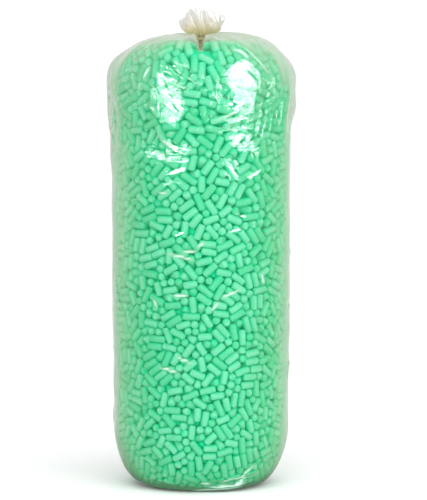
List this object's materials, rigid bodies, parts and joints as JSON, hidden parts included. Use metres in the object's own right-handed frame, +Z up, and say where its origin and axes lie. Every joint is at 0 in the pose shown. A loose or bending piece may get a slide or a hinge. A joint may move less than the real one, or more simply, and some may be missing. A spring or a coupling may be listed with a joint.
{
  "type": "packing peanut bag",
  "caption": "Tall clear poly bag of mint-green packing peanuts, standing on its flat base, with a domed shoulder and a gathered, tied neck.",
  "frame": {"origin": "centre of the flat base, on the floor", "axes": "+Z up the bag to its neck, -Y to the front that the picture shows, +X to the picture's right"},
  "size_m": [0.4939, 0.4962, 1.2379],
  "materials": {
    "film": "clear, slightly milky poly film",
    "foam": "matt extruded starch foam",
    "tie": "paper-covered wire"
  },
  "bodies": {
    "root": {"bag_film": "film", "peanut_fill": "foam", "neck_tie": "tie"}
  },
  "joints": []
}
